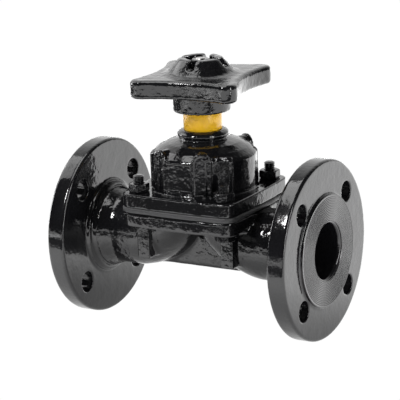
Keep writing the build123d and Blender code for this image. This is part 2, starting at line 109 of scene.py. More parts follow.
class ValveSizes(bpy.types.PropertyGroup):
    """Sizes of the finish that a user may change."""

    body_voxel: length(
        "Body Grid", "Grid that rounds the body casting's edges", 1.5 * MM, 0.8 * MM, 4 * MM
    )
    flange_voxel: length(
        "Flange Grid", "Grid that rounds the flanges' edges", 1.05 * MM, 0.6 * MM, 4 * MM
    )
    bonnet_voxel: length(
        "Bonnet Grid", "Grid that rounds the bonnet casting's edges", 0.9 * MM, 0.6 * MM, 4 * MM
    )
    wheel_voxel: length(
        "Handwheel Grid", "Grid that rounds the handwheel casting's edges",
        1.0 * MM, 0.6 * MM, 4 * MM,
    )
    casting_swell: length(
        "Casting Unevenness", "Height of the waves in a sand-cast surface", 0.16 * MM, 0.0, 1 * MM
    )
    groove_pitch: length(
        "Facing Groove Pitch", "Between the turned grooves of a raised face",
        1.5 * MM, 0.5 * MM, 3 * MM,
    )
    groove_depth: length(
        "Facing Groove Depth", "Depth of the turned grooves of a raised face",
        0.26 * MM, 0.0, 0.5 * MM,
    )
    thread_pitch: length(
        "Stud Thread Pitch", "Pitch of the studs' thread", 1.5 * MM, 0.5 * MM, 3 * MM
    )
    turn_steps: IntProperty(
        name="Turning Steps", description="Segments round a turned piece",
        default=160, min=32, max=512,
    )
    view_distance: length(
        "Camera Distance", "From the camera to the point it looks at", 1.9146, 0.5, 10.0
    )
    view_azimuth: angle("Camera Azimuth", "Turn of the view from looking along the Y axis", 30.16)
    view_elevation: angle("Camera Elevation", "Height of the view above the horizon", 15.2)
    view_roll: angle("Camera Roll", "Tilt of the view about its own axis", -2.13)
    view_lens: FloatProperty(
        name="Focal Length", description="Lens in millimetres on a 36 mm sensor",
        default=187.1, min=10.0, max=500.0,
    )


class ValveColours(bpy.types.PropertyGroup):
    """Colours that a user may change."""

    enamel: colour("Enamel", "Paint of the castings and the fasteners", (0.0042, 0.0042, 0.0048))
    indicator: colour("Indicator", "Plastic of the position band", (0.80, 0.45, 0.012))
    steel: colour("Steel", "Bare turned metal", (0.50, 0.49, 0.48))
    bronze: colour("Bronze", "Bush and thrust washer", (0.58, 0.38, 0.16))
    rubber: colour("Rubber", "Diaphragm and seals", (0.022, 0.022, 0.023))
    floor: colour("Floor", "Plain pale floor", (0.92, 0.92, 0.92))


def sizes():
    """The scene's sizes of the finish."""
    return bpy.context.scene.valve_sizes


def colours():
    """The scene's colours."""
    return bpy.context.scene.valve_colours


# ------------------------------------------------------------ node helpers ----


def link(tree, source, target):
    tree.links.new(source, target)


def feed(tree, target, value):
    """Link a socket to an input, or set the input to a number or a colour."""
    if isinstance(value, bpy.types.NodeSocket):
        link(tree, value, target)
    elif isinstance(value, (int, float)):
        target.default_value = value
    else:
        target.default_value = (*tuple(value)[:3], 1.0)


def maths(tree, operation, a, b):
    """Math node fed by sockets or numbers; gives its output socket."""
    node = tree.nodes.new("ShaderNodeMath")
    node.operation = operation
    feed(tree, node.inputs[0], a)
    feed(tree, node.inputs[1], b)
    return node.outputs[0]


def remap(tree, value, low, high, to_low=0.0, to_high=1.0):
    """Map Range node with soft ends, clamped."""
    node = tree.nodes.new("ShaderNodeMapRange")
    node.interpolation_type = "SMOOTHSTEP"
    feed(tree, node.inputs["Value"], value)
    feed(tree, node.inputs["From Min"], low)
    feed(tree, node.inputs["From Max"], high)
    feed(tree, node.inputs["To Min"], to_low)
    feed(tree, node.inputs["To Max"], to_high)
    return node.outputs["Result"]


def blend_colour(tree, factor, a, b, mode="MIX"):
    """Mix node for colours; a and b are sockets or colour tuples."""
    node = tree.nodes.new("ShaderNodeMix")
    node.data_type = "RGBA"
    node.blend_type = mode
    feed(tree, node.inputs["Factor"], factor)
    # its colour sockets, by place: its other kinds of socket have the same names
    feed(tree, node.inputs[6], a)
    feed(tree, node.inputs[7], b)
    return node.outputs[2]


def noise_value(tree, vector, scale, detail, roughness, distortion=0.0):
    """Noise Texture node's value."""
    node = tree.nodes.new("ShaderNodeTexNoise")
    node.noise_dimensions = "3D"
    feed(tree, node.inputs["Vector"], vector)
    feed(tree, node.inputs["Scale"], scale)
    feed(tree, node.inputs["Detail"], detail)
    feed(tree, node.inputs["Roughness"], roughness)
    feed(tree, node.inputs["Distortion"], distortion)
    return node.outputs["Fac"]


def split_axes(tree, vector):
    """Separate XYZ node's outputs."""
    node = tree.nodes.new("ShaderNodeSeparateXYZ")
    link(tree, vector, node.inputs[0])
    return node.outputs


def vector_maths(tree, operation, vector, value=None):
    """Vector Math node's outputs."""
    node = tree.nodes.new("ShaderNodeVectorMath")
    node.operation = operation
    link(tree, vector, node.inputs[0])
    if value is not None:
        node.inputs[1].default_value = value
    return node.outputs


FLOAT, COLOUR, VECTOR = "NodeSocketFloat", "NodeSocketColor", "NodeSocketVector"


def shader_group(name, inputs, outputs):
    """Turn a function that fills a node tree into one that gives the group, built once.

    Inputs are (name, kind, default) after the vector that every group takes, and outputs
    are (name, kind).
    """
    def wrap(fill):
        def group():
            if name in bpy.data.node_groups:
                return bpy.data.node_groups[name]
            tree = bpy.data.node_groups.new(name, "ShaderNodeTree")
            tree.interface.new_socket("Vector", in_out="INPUT", socket_type=VECTOR)
            for label, kind, default in inputs:
                socket = tree.interface.new_socket(label, in_out="INPUT", socket_type=kind)
                socket.default_value = default
            for label, kind in outputs:
                tree.interface.new_socket(label, in_out="OUTPUT", socket_type=kind)
            start = tree.nodes.new("NodeGroupInput")
            end = tree.nodes.new("NodeGroupOutput")
            start.location, end.location = (-900, 0), (900, 0)
            fill(tree, start.outputs, end.inputs)
            return tree

        group.__doc__ = fill.__doc__
        return group

    return wrap


@shader_group(
    "Cast Skin",
    [("Lump Scale", FLOAT, 180.0), ("Grain Scale", FLOAT, 620.0), ("Grain", FLOAT, 0.5),
     ("Patchiness", FLOAT, 0.6)],
    [("Height", FLOAT), ("Pits", FLOAT)],
)
def cast_skin_group(tree, given, result):
    """Sand-cast grain under thick paint: a height, and a mask of the pits."""
    lumps = noise_value(tree, given["Vector"], given["Lump Scale"], 2.0, 0.5, 0.3)
    grain = noise_value(tree, given["Vector"], given["Grain Scale"], 3.0, 0.6, 0.2)
    patches = noise_value(tree, given["Vector"], 42.0, 2.0, 0.5)
    patchy = maths(tree, "MULTIPLY", remap(tree, patches, 0.40, 0.62), given["Patchiness"])
    share = maths(tree, "ADD", patchy, maths(tree, "SUBTRACT", 1.0, given["Patchiness"]))
    grain_height = maths(tree, "MULTIPLY", maths(tree, "MULTIPLY", grain, given["Grain"]), share)
    link(tree, maths(tree, "ADD", lumps, grain_height), result["Height"])
    link(tree, remap(tree, grain, 0.36, 0.24), result["Pits"])


@shader_group(
    "Paint Film",
    [("Colour", COLOUR, (0.02, 0.02, 0.02, 1)), ("Drift", FLOAT, 0.3), ("Smoothest", FLOAT, 0.1),
     ("Roughest", FLOAT, 0.25)],
    [("Colour", COLOUR), ("Roughness", FLOAT), ("Peel", FLOAT)],
)
def paint_film_group(tree, given, result):
    """Even changes of a paint film: tone and roughness drift, with a fine orange peel."""
    clouds = noise_value(tree, given["Vector"], 28.0, 3.0, 0.5)
    peel = noise_value(tree, given["Vector"], 330.0, 1.0, 0.4)
    lighter = blend_colour(tree, 1.0, given["Colour"], (1.8, 1.8, 1.85), "MULTIPLY")
    amount = maths(tree, "MULTIPLY", remap(tree, clouds, 0.35, 0.7), given["Drift"])
    link(tree, blend_colour(tree, amount, given["Colour"], lighter), result["Colour"])
    rough = remap(tree, clouds, 0.3, 0.7, given["Smoothest"], given["Roughest"])
    link(tree, rough, result["Roughness"])
    link(tree, peel, result["Peel"])


@shader_group(
    "Settled Dust",
    [("Amount", FLOAT, 0.2)],
    [("Mask", FLOAT)],
)
def settled_dust_group(tree, given, result):
    """Fine dust on faces that look up: a mask, thinner where it has been wiped."""
    geometry = tree.nodes.new("ShaderNodeNewGeometry")
    facing = remap(tree, split_axes(tree, geometry.outputs["Normal"])["Z"], 0.35, 0.95)
    specks = remap(tree, noise_value(tree, given["Vector"], 260.0, 4.0, 0.7), 0.45, 0.75)
    mask = maths(tree, "MULTIPLY", maths(tree, "MULTIPLY", facing, specks), given["Amount"])
    link(tree, mask, result["Mask"])


@shader_group(
    "Lathe Marks",
    [("Rings", FLOAT, 1400.0), ("Stains", FLOAT, 0.3)],
    [("Height", FLOAT), ("Stain", FLOAT)],
)
def lathe_marks_group(tree, given, result):
    """Fine rings left by turning, about the Z axis of the vector that it is given."""
    axes = split_axes(tree, given["Vector"])
    flat = tree.nodes.new("ShaderNodeCombineXYZ")
    link(tree, axes["X"], flat.inputs["X"])
    link(tree, axes["Y"], flat.inputs["Y"])
    radius = vector_maths(tree, "LENGTH", flat.outputs[0])["Value"]
    along = maths(tree, "ADD", radius, maths(tree, "MULTIPLY", axes["Z"], 0.7))
    scaled = maths(tree, "MULTIPLY", along, given["Rings"])
    pair = tree.nodes.new("ShaderNodeCombineXYZ")
    link(tree, scaled, pair.inputs["X"])
    link(tree, noise_value(tree, pair.outputs[0], 1.0, 2.0, 0.7), result["Height"])
    stains = remap(tree, noise_value(tree, given["Vector"], 55.0, 4.0, 0.6), 0.5, 0.72)
    link(tree, maths(tree, "MULTIPLY", stains, given["Stains"]), result["Stain"])


@shader_group(
    "Edge Wear",
    [("Amount", FLOAT, 0.3)],
    [("Mask", FLOAT)],
)
def edge_wear_group(tree, given, result):
    """Mask of edges where a coat is thin or rubbed."""
    geometry = tree.nodes.new("ShaderNodeNewGeometry")
    sharp = remap(tree, geometry.outputs["Pointiness"], 0.53, 0.60)
    broken = remap(tree, noise_value(tree, given["Vector"], 210.0, 4.0, 0.7), 0.46, 0.66)
    mask = maths(tree, "MULTIPLY", maths(tree, "MULTIPLY", sharp, broken), given["Amount"])
    link(tree, mask, result["Mask"])


def place_group(tree, group, **values):
    """Group node in a material, its inputs set or linked by name."""
    node = tree.nodes.new("ShaderNodeGroup")
    node.node_tree = group
    for name, value in values.items():
        feed(tree, node.inputs[name.replace("_", " ").title()], value)
    return node.outputs


def material(name):
    """New material, with its tree, shader and object coordinates."""
    found = bpy.data.materials.new(name)
    found.use_nodes = True
    tree = found.node_tree
    shader = tree.nodes["Principled BSDF"]
    coordinates = tree.nodes.new("ShaderNodeTexCoord")
    return found, tree, shader, coordinates.outputs["Object"]


def bump(tree, shader, height, strength, distance):
    """Relief on a shader's normal."""
    node = tree.nodes.new("ShaderNodeBump")
    node.inputs["Strength"].default_value = strength
    node.inputs["Distance"].default_value = distance
    link(tree, height, node.inputs["Height"])
    link(tree, node.outputs["Normal"], shader.inputs["Normal"])


def enamel_material(
    name, grain, lumps, relief, dust, smoothest=0.045, roughest=0.12, grains=430.0
):
    """Thick gloss enamel over a cast surface.

    Grain and dust are shares, lumps and grains are counts in a metre, relief is the depth
    of both in metres, and the last two but one are the ends of its roughness.
    """
    if name in bpy.data.materials:
        return bpy.data.materials[name]
    found, tree, shader, place = material(name)
    film = place_group(tree, paint_film_group(), vector=place, colour=colours().enamel,
                       drift=0.5, smoothest=smoothest, roughest=roughest)
    skin = place_group(tree, cast_skin_group(), vector=place, lump_scale=lumps,
                       grain_scale=grains, grain=grain)
    dusty = place_group(tree, settled_dust_group(), vector=place, amount=dust)
    wear = place_group(tree, edge_wear_group(), vector=place, amount=0.25)
    worn = blend_colour(tree, wear["Mask"], film["Colour"], (0.05, 0.047, 0.045))
    tone = blend_colour(tree, dusty["Mask"], worn, (0.20, 0.19, 0.18))
    link(tree, tone, shader.inputs["Base Color"])
    rough = maths(tree, "ADD", film["Roughness"], maths(tree, "MULTIPLY", dusty["Mask"], 0.35))
    link(tree, rough, shader.inputs["Roughness"])
    height = maths(tree, "ADD", skin["Height"], maths(tree, "MULTIPLY", film["Peel"], 0.35))
    bump(tree, shader, height, 1.0, relief)
    shader.inputs["IOR"].default_value = 1.52
    return found


def metal_material(name, metal, rings, stain=(0.12, 0.09, 0.07)):
    """Bare machined metal with turning marks and faint stains."""
    if name in bpy.data.materials:
        return bpy.data.materials[name]
    found, tree, shader, place = material(name)
    marks = place_group(tree, lathe_marks_group(), vector=place, rings=rings, stains=0.35)
    tone = blend_colour(tree, remap(tree, marks["Height"], 0.3, 0.7), Vector(metal) * 0.72, metal)
    link(tree, blend_colour(tree, marks["Stain"], tone, stain), shader.inputs["Base Color"])
    link(tree, remap(tree, marks["Height"], 0.3, 0.7, 0.22, 0.42), shader.inputs["Roughness"])
    shader.inputs["Metallic"].default_value = 1.0
    bump(tree, shader, marks["Height"], 0.7, 0.00004)
    return found


def rubber_material(name):
    """Moulded rubber with a faint bloom."""
    if name in bpy.data.materials:
        return bpy.data.materials[name]
    found, tree, shader, place = material(name)
    film = place_group(tree, paint_film_group(), vector=place, colour=colours().rubber,
                       drift=0.8, smoothest=0.45, roughest=0.68)
    skin = place_group(tree, cast_skin_group(), vector=place, lump_scale=400.0,
                       grain_scale=1500.0, grain=0.6)
    link(tree, film["Colour"], shader.inputs["Base Color"])
    link(tree, film["Roughness"], shader.inputs["Roughness"])
    bump(tree, shader, skin["Height"], 0.5, 0.00008)
    return found


def plastic_material(name):
    """Smooth coloured plastic, a little soiled where paint and hands have touched it."""
    if name in bpy.data.materials:
        return bpy.data.materials[name]
    found, tree, shader, place = material(name)
    film = place_group(tree, paint_film_group(), vector=place, colour=colours().indicator,
                       drift=0.0, smoothest=0.28, roughest=0.4)
    stain = place_group(tree, lathe_marks_group(), vector=place, rings=2600.0, stains=0.5)
    soiled = blend_colour(tree, 1.0, film["Colour"], (0.72, 0.66, 0.6), "MULTIPLY")
    tone = blend_colour(tree, stain["Stain"], film["Colour"], soiled)
    link(tree, tone, shader.inputs["Base Color"])
    link(tree, film["Roughness"], shader.inputs["Roughness"])
    height = maths(tree, "ADD", stain["Height"], film["Peel"])
    bump(tree, shader, height, 0.35, 0.00004)
    shader.inputs["Subsurface Weight"].default_value = 0.05
    shader.inputs["Subsurface Radius"].default_value = (0.002, 0.001, 0.0004)
    return found


def iron_material(name):
    """Bare grey casting."""
    if name in bpy.data.materials:
        return bpy.data.materials[name]
    found, tree, shader, place = material(name)
    film = place_group(tree, paint_film_group(), vector=place, colour=(0.16, 0.155, 0.15),
                       drift=0.7, smoothest=0.5, roughest=0.72)
    skin = place_group(tree, cast_skin_group(), vector=place, lump_scale=300.0, grain=0.8)
    tone = blend_colour(tree, skin["Pits"], film["Colour"], (0.045, 0.03, 0.022))
    link(tree, tone, shader.inputs["Base Color"])
    link(tree, film["Roughness"], shader.inputs["Roughness"])
    shader.inputs["Metallic"].default_value = 0.6
    bump(tree, shader, skin["Height"], 0.9, 0.0004)
    return found


# ------------------------------------------------------------ mesh helpers ----


def object_from(bm, name, finish, shaded_smooth=True):
    """Mesh object at the origin from a bmesh, which is freed."""
    mesh = bpy.data.meshes.new(name)
    bm.to_mesh(mesh)
    bm.free()
    if shaded_smooth:
        mesh.shade_smooth()
    piece = bpy.data.objects.new(name, mesh)
    bpy.context.scene.collection.objects.link(piece)
    mesh.materials.append(finish)
    return piece


def bmesh_of(node):
    """Merged copy of a CAD node's mesh."""
    bm = bmesh.new()
    bm.from_mesh(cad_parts[node].data)
    bmesh.ops.remove_doubles(bm, verts=bm.verts, dist=1e-6)
    return bm


def remeshed(bm, voxel):
    """The same closed shape on an even grid, which rounds its edges and corners."""
    mesh = bpy.data.meshes.new("grid")
    bm.to_mesh(mesh)
    bm.free()
    holder = bpy.data.objects.new("grid", mesh)
    bpy.context.scene.collection.objects.link(holder)
    modifier = holder.modifiers.new("Remesh", "REMESH")
    modifier.mode = "VOXEL"
    modifier.voxel_size = voxel
    modifier.adaptivity = 0.0
    depsgraph = bpy.context.evaluated_depsgraph_get()
    even = bpy.data.meshes.new_from_object(holder.evaluated_get(depsgraph))
    result = bmesh.new()
    result.from_mesh(even)
    bpy.data.objects.remove(holder)
    bpy.data.meshes.remove(mesh)
    bpy.data.meshes.remove(even)
    return result


def without(bm, cutter):
    """The first shape less the second; both are freed."""
    holders = []
    for source in (bm, cutter):
        mesh = bpy.data.meshes.new("part")
        source.to_mesh(mesh)
        source.free()
        holders.append(bpy.data.objects.new("part", mesh))
        bpy.context.scene.collection.objects.link(holders[-1])
    modifier = holders[0].modifiers.new("Boolean", "BOOLEAN")
    modifier.operation = "DIFFERENCE"
    modifier.solver = "EXACT"
    modifier.object = holders[1]
    depsgraph = bpy.context.evaluated_depsgraph_get()
    left = bpy.data.meshes.new_from_object(holders[0].evaluated_get(depsgraph))
    result = bmesh.new()
    result.from_mesh(left)
    bpy.data.meshes.remove(left)
    for holder in holders:
        mesh = holder.data
        bpy.data.objects.remove(holder)
        bpy.data.meshes.remove(mesh)
    return result


def smooth(bm, rounds):
    """Even out the grid's steps."""
    for _ in range(rounds):
        bmesh.ops.smooth_vert(
            bm, verts=bm.verts, factor=0.5, use_axis_x=True, use_axis_y=True, use_axis_z=True
        )


LONG_WAVES, SHORT_WAVES = 95.0, 260.0  # in a metre
SHORT_SHARE = 0.55                     # of a long wave's height
SHORT_SHIFT = Vector((7, 3, 1))        # so that the two sets of waves don't fall together


def swell(bm, height, keep):
    """Waves of a sand-cast surface, left out where keep(point) is small."""
    bm.normal_update()
    moves = []
    for vert in bm.verts:
        wave = noise.noise(vert.co * LONG_WAVES)
        wave += SHORT_SHARE * noise.noise(vert.co * SHORT_WAVES + SHORT_SHIFT)
        moves.append(vert.normal * (wave * height * keep(vert.co)))
    for vert, move in zip(bm.verts, moves):
        vert.co += move


def segment_gap(point, a, b):
    """Distance of a 2-D point from the straight line between two others."""
    along = b - a
    share = max(0.0, min(1.0, (point - a).dot(along) / along.length_squared))
    return (point - a - along * share).length


def raise_beads(bm, outlines, height, width):
    """Rounded beads along outlines that lie on upright planes.

    Each outline is its plane's turn about Z, its distance from the axis, and its points
    across and up.
    """
    bm.normal_update()
    reach = 3 * width
    moves = {}
    for turn, distance, points in outlines:
        out = Vector((cos(turn), sin(turn), 0))
        across = Vector((-sin(turn), cos(turn), 0))
        for vert in bm.verts:
            if abs(vert.co.dot(out) - distance) > reach:
                continue
            flat = Vector((vert.co.dot(across), vert.co.z))
            gap = min(segment_gap(flat, a, b) for a, b in zip(points, points[1:]))
            if gap < reach:
                push = height * 2.0 ** (-((gap / width) ** 2))
                moves[vert] = max(moves.get(vert, 0.0), push)
    for vert, push in moves.items():
        vert.co += vert.normal * push


def turned(points, steps, axis="Z", centre=Vector((0, 0, 0)), closed=True):
    """Ring or rod turned from (radius, height) points about an X or Z axis through centre."""
    bm = bmesh.new()
    along, out = Vector((0, 0, 1)), Vector((1, 0, 0))
    if axis == "X":
        along, out = out, along
    verts = [bm.verts.new(centre + out * r + along * h) for r, h in points]
    edges = [bm.edges.new((a, b)) for a, b in zip(verts, verts[1:])]
    if closed:
        edges.append(bm.edges.new((verts[-1], verts[0])))
    bmesh.ops.spin(
        bm, geom=verts + edges, cent=centre, axis=along, angle=tau, steps=steps, use_merge=True
    )
    bmesh.ops.remove_doubles(bm, verts=bm.verts, dist=1e-7)
    bmesh.ops.recalc_face_normals(bm, faces=bm.faces)
    return bm


def joined(parts):
    """One bmesh from several, which are freed."""
    whole = bmesh.new()
    for part in parts:
        mesh = bpy.data.meshes.new("part")
        part.to_mesh(mesh)
        part.free()
        whole.from_mesh(mesh)
        bpy.data.meshes.remove(mesh)
    return whole


def ride(piece, body, slot, *nodes):
    """Declare a new piece: its body, finish and the CAD nodes it stands for."""
    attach(piece, body)
    if nodes:
        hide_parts(*nodes)
    return piece


# --------------------------------------------------------------- castings ----


def slab(bm, low, high):
    """Keep what lies between two places along the pipe, closed by flat faces."""
    for place, normal in ((low, (-1, 0, 0)), (high, (1, 0, 0))):
        if place is None:
            continue
        everything = bm.verts[:] + bm.edges[:] + bm.faces[:]
        cut = bmesh.ops.bisect_plane(
            bm, geom=everything, plane_co=(place, 0, 0), plane_no=normal, clear_outer=True
        )
        rim = [item for item in cut["geom_cut"] if isinstance(item, bmesh.types.BMEdge)]
        bmesh.ops.triangle_fill(bm, edges=rim, use_beauty=True)
    return bm


class VALVE_OT_body_casting(bpy.types.Operator):
    """Body casting with soft edges under its enamel: the middle and both flanges"""

    bl_idname = "valve.body_casting"
    bl_label = "Body Casting"

    flange_width: length(
        "Flange Width", "From each end face to where the finer grid stops", 29.0 * MM
    )
    lap: length("Lap", "Length of neck that both grids cover", 2.6 * MM)

    def execute(self, context):
        size = sizes()
        finish = enamel_material("Body Enamel", 0.30, 90.0, 0.00055, 0.05)
        smooth_finish = enamel_material("Flange Enamel", 0.10, 95.0, 0.00022, 0.05, 0.06, 0.14)
        inner = END_FACE - self.flange_width
        behind = END_FACE - FACING_DEPTH
        flange_back = END_FACE - 24 * MM
        seat_edge = SEAT - 1.5 * MM

        def keep(point):
            """Less on the flanges and the seat, which are machined."""
            return 0.3 if abs(point.x) > flange_back or point.z > seat_edge else 1.0

        sections = (
            ("body_casting", -inner - self.lap, inner + self.lap, size.body_voxel, finish),
            ("inlet_flange", None, -inner, size.flange_voxel, smooth_finish),
            ("outlet_flange", inner, None, size.flange_voxel, smooth_finish),
        )
        for name, low, high, voxel, paint in sections:
            bm = remeshed(slab(bmesh_of("valve_body"), low, high), voxel)
            smooth(bm, 3 if voxel > size.flange_voxel else 2)
            swell(bm, size.casting_swell, keep)
            for vert in bm.verts:
                if abs(vert.co.x) > behind:
                    vert.co.x = copysign(behind, vert.co.x)
            piece = object_from(bm, name, paint)
            ride(piece, "root", "body_enamel", "valve_body")
        return {"FINISHED"}


class VALVE_OT_facings(bpy.types.Operator):
    """Raised faces of both flanges, with the turned grooves under their enamel"""

    bl_idname = "valve.facings"
    bl_label = "Flange Facings"

    inner: length("Inner Radius", "Where the facing meets the bore's chamfer", 27.3 * MM)
    outer: length("Outer Radius", "Edge of the raised face", 51.4 * MM)
    height: length("Height", "Raised face above the flange", 2.6 * MM)

    edge: length("Edge", "Softening of the raised face's edges", 0.35 * MM)

    def section(self):
        """The facing's grooved section, as (radius, distance behind the end face)."""
        size = sizes()
        pitch, depth, edge = size.groove_pitch, size.groove_depth, self.edge
        points = [(self.inner, FACING_DEPTH), (self.inner, edge), (self.inner + edge, 0.0)]
        count = int((self.outer - self.inner - 4 * edge) / pitch)
        for i in range(count):
            radius = self.inner + 1.5 * edge + i * pitch
            points += [(radius, 0.0), (radius + pitch * 0.3, depth), (radius + pitch * 0.6, 0.0)]
        points += [(self.outer - edge, 0.0), (self.outer, edge)]
        points += [(self.outer + 0.3 * MM, self.height), (self.outer - 2 * MM, self.height)]
        return points

    def execute(self, context):
        size = sizes()
        finish = enamel_material("Facing Enamel", 0.1, 95.0, 0.0001, 0.03, 0.10, 0.22)
        for name, side in (("inlet_facing", -1), ("outlet_facing", 1)):
            centre = Vector((side * END_FACE, 0, PIPE_AXIS))
            profile = [(radius, -side * back) for radius, back in self.section()]
            bm = turned(profile, size.turn_steps, "X", centre)
            piece = object_from(bm, name, finish)
            piece.data.set_sharp_from_angle(angle=radians(35))
            ride(piece, "root", "body_enamel")
        return {"FINISHED"}


class VALVE_OT_bonnet_casting(bpy.types.Operator):
    """Bonnet casting with soft edges under its enamel, and beads round its ribs and flats"""

    bl_idname = "valve.bonnet_casting"
    bl_label = "Bonnet Casting"

    bead_height: length("Bead Height", "Beads round the ribs and flats", 1.1 * MM)
    bead_width: length("Bead Width", "From a bead's crest to half its height", 0.9 * MM)
    rib_distance: length("Rib Distance", "Rib's face from the spindle", 48.7 * MM)
    rib_half_width: length("Rib Half Width", "Half a rib's width", 8 * MM)
    rib_spring: length("Rib Spring", "Where a rib's arch starts, above the flange", 31.5 * MM)
    rib_angle: angle("Rib Angle", "From the middle of a pocket", 27)
    flat_distance: length("Flat Distance", "Spanner flat from the spindle", 46.4 * MM)
    flat_half_width: length("Flat Half Width", "Half a flat's width", 12.6 * MM)
    flat_height: length("Flat Height", "Top of a flat above the flange", 35 * MM)

    def outlines(self):
        """Outlines of the four arched ribs and the four flats."""
        low = COVER_TOP + 2 * MM
        spring, half = COVER_TOP + self.rib_spring, self.rib_half_width
        turns = [pi * i / 10 for i in range(11)]
        arch = [(-half, low)]
        arch += [(-half * cos(turn), spring + half * sin(turn)) for turn in turns]
        arch.append((half, low))
        head, side = COVER_TOP + self.flat_height, self.flat_half_width
        panel = [(-side, low), (-side, head), (side, head), (side, low)]
        arch, panel = ([Vector(point) for point in outline] for outline in (arch, panel))
        found = []
        for pocket in (-pi / 2, pi / 2):
            for way in (-1, 1):
                found.append((pocket + way * self.rib_angle, self.rib_distance, arch))
                found.append((pocket + way * pi / 4, self.flat_distance, panel))
        return found

    def execute(self, context):
        size = sizes()
        bm = remeshed(bmesh_of("bonnet"), size.bonnet_voxel)
        raise_beads(bm, self.outlines(), self.bead_height, self.bead_width)
        neck = bottom("position_indicator") - 1 * MM
        flange = COVER_TOP + 1 * MM

        def keep(point):
            """None on the turned neck, and less on the flange."""
            if point.z > neck:
                return 0.0
            return 0.35 if point.z < flange else 0.6

        swell(bm, size.casting_swell, keep)
        finish = enamel_material("Bonnet Enamel", 0.45, 130.0, 0.00035, 0.02, 0.03, 0.07, 400.0)
        ride(object_from(bm, "bonnet_casting", finish), "root", "bonnet_enamel", "bonnet")
        return {"FINISHED"}


class VALVE_OT_handwheel_casting(bpy.types.Operator):
    """Handwheel casting with soft edges under its enamel"""

    bl_idname = "valve.handwheel_casting"
    bl_label = "Handwheel Casting"

    def execute(self, context):
        size = sizes()
        bm = remeshed(bmesh_of("handwheel"), size.wheel_voxel)
        smooth(bm, 3)
        swell(bm, size.casting_swell, lambda point: 1.2)
        finish = enamel_material("Handwheel Enamel", 0.5, 130.0, 0.00045, 0.06, 0.03, 0.08, 420.0)
        piece = object_from(bm, "handwheel_casting", finish)
        ride(piece, "handwheel", "handwheel_enamel", "handwheel")
        return {"FINISHED"}


# -------------------------------------------------------------- fasteners ----


def hexagon_nut(centre, flats, low, high, bore, turn):
    """Nut with a chamfered top and bottom and an open bore."""
    bm = bmesh.new()
    corner = flats / sqrt(3)
    chamfer_edge, face_edge, slope = flats / 2 * 0.98, flats / 2 * 0.95, 0.7
    made = bmesh.ops.create_cone(
        bm, cap_ends=False, segments=48, radius1=corner, radius2=corner, depth=high - low
    )
    for vert in made["verts"]:
        bearing = Vector((vert.co.x, vert.co.y)).angle_signed(Vector((1, 0)), 0.0)
        sector = (bearing + pi / 6) % (pi / 3) - pi / 6
        reach = flats / 2 / cos(sector)
        vert.co.xy = vert.co.xy.normalized() * reach
    rims = [edge for edge in bm.edges if edge.is_boundary]
    for level, direction in ((-(high - low) / 2, 1), ((high - low) / 2, -1)):
        loop = [edge for edge in rims if abs(edge.verts[0].co.z - level) < 1e-6]
        outer = bmesh.ops.extrude_edge_only(bm, edges=loop)["geom"]
        ring = [item for item in outer if isinstance(item, bmesh.types.BMVert)]
        for vert in ring:
            vert.co.xy = vert.co.xy.normalized() * face_edge
        for vert in {v for edge in loop for v in edge.verts}:
            vert.co.z += direction * max(0.0, vert.co.xy.length - chamfer_edge) * slope
        edges = [item for item in outer if isinstance(item, bmesh.types.BMEdge)]
        edges = [edge for edge in edges if all(v in ring for v in edge.verts)]
        inner = bmesh.ops.extrude_edge_only(bm, edges=edges)["geom"]
        for vert in [item for item in inner if isinstance(item, bmesh.types.BMVert)]:
            vert.co.xy = vert.co.xy.normalized() * bore
    bores = [edge for edge in bm.edges if edge.is_boundary]
    bmesh.ops.bridge_loops(bm, edges=bores)
    bmesh.ops.recalc_face_normals(bm, faces=bm.faces)
    bmesh.ops.rotate(bm, verts=bm.verts, cent=(0, 0, 0), matrix=Matrix.Rotation(turn, 3, "Z"))
    bmesh.ops.translate(bm, verts=bm.verts, vec=(centre.x, centre.y, (low + high) / 2))
    return bm


def threaded_rod(centre, radius, low, high, pitch, threads):
    """Rod with chamfered ends and turned thread crests between two levels."""
    chamfer = 0.9 * MM
    root = radius - 0.55 * pitch
    level, thread_high = threads
    points = [(0.0, low), (radius - chamfer, low), (radius, low + chamfer), (radius, level)]
    while level + pitch < thread_high:
        points += [(root, level + pitch * 0.45), (root, level + pitch * 0.55)]
        points += [(radius, level + pitch * 0.92), (radius, level + pitch * 1.08)]
        level += pitch
    points += [(radius - chamfer * 0.4, high - chamfer), (radius - chamfer * 1.5, high)]
    points.append((0.0, high))
    return turned(points, 40, "Z", Vector((centre.x, centre.y, 0)), closed=False)


def stud_centres():
    """Centres of the four studs, from the box of their node."""
    low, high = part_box("bonnet_studs")
    return [
        Vector((x, y, 0))
        for x in (low[0] + STUD_RADIUS, high[0] - STUD_RADIUS)
        for y in (low[1] + STUD_RADIUS, high[1] - STUD_RADIUS)
    ]


def fastener_enamel():
    """Enamel of the studs, nuts and washer."""
    return enamel_material("Fastener Enamel", 0.3, 420.0, 0.00022, 0.15)


